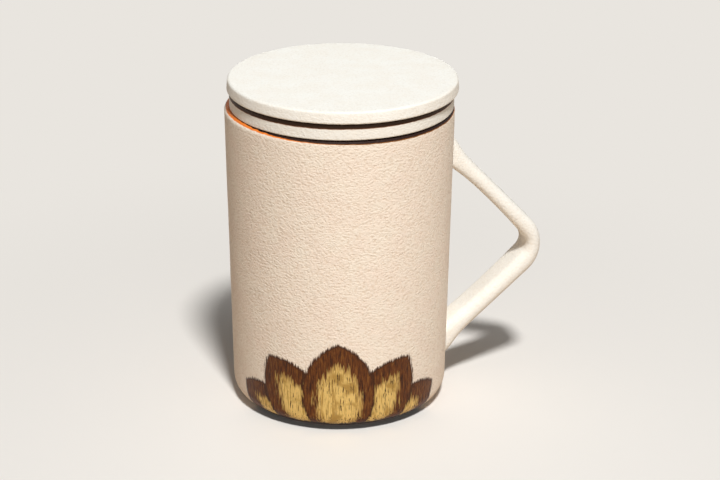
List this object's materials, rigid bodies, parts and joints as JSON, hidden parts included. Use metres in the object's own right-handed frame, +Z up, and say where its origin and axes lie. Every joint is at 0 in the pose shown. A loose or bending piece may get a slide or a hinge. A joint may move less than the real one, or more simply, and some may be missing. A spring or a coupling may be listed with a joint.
{
  "type": "lidded tea mug with infuser",
  "caption": "Straight stoneware tea mug with a strap handle, a drop-in pierced infuser whose collar rests on the rim, and a flat lift-off lid.",
  "frame": {"origin": "centre of the foot ring, on the surface that the mug stands on", "axes": "+Z up along the cup's axis, +X from the cup's axis towards the handle"},
  "size_m": [0.1167, 0.083, 0.1214],
  "materials": {
    "cup_glaze": "matte sandy oatmeal glaze, brown and gold brushed motif low on the wall",
    "handle_glaze": "matte sandy white glaze",
    "infuser_glaze": "matte white glaze",
    "lid_glaze": "matte sandy white glaze"
  },
  "bodies": {
    "mug": {"cup_body": "cup_glaze", "handle": "handle_glaze"},
    "infuser": {"infuser_collar": "infuser_glaze", "infuser_basket": "infuser_glaze", "infuser_floor": "infuser_glaze"},
    "lid": {"lid_disc": "lid_glaze", "lid_locating_ring": "lid_glaze"}
  },
  "joints": [
    {"name": "infuser_lift", "type": "slide", "parent": "mug", "child": "infuser", "axis": [0, 0, 1], "range_m": [0, 0.11]},
    {"name": "lid_lift", "type": "slide", "parent": "infuser", "child": "lid", "axis": [0, 0, 1], "range_m": [0, 0.06]}
  ]
}
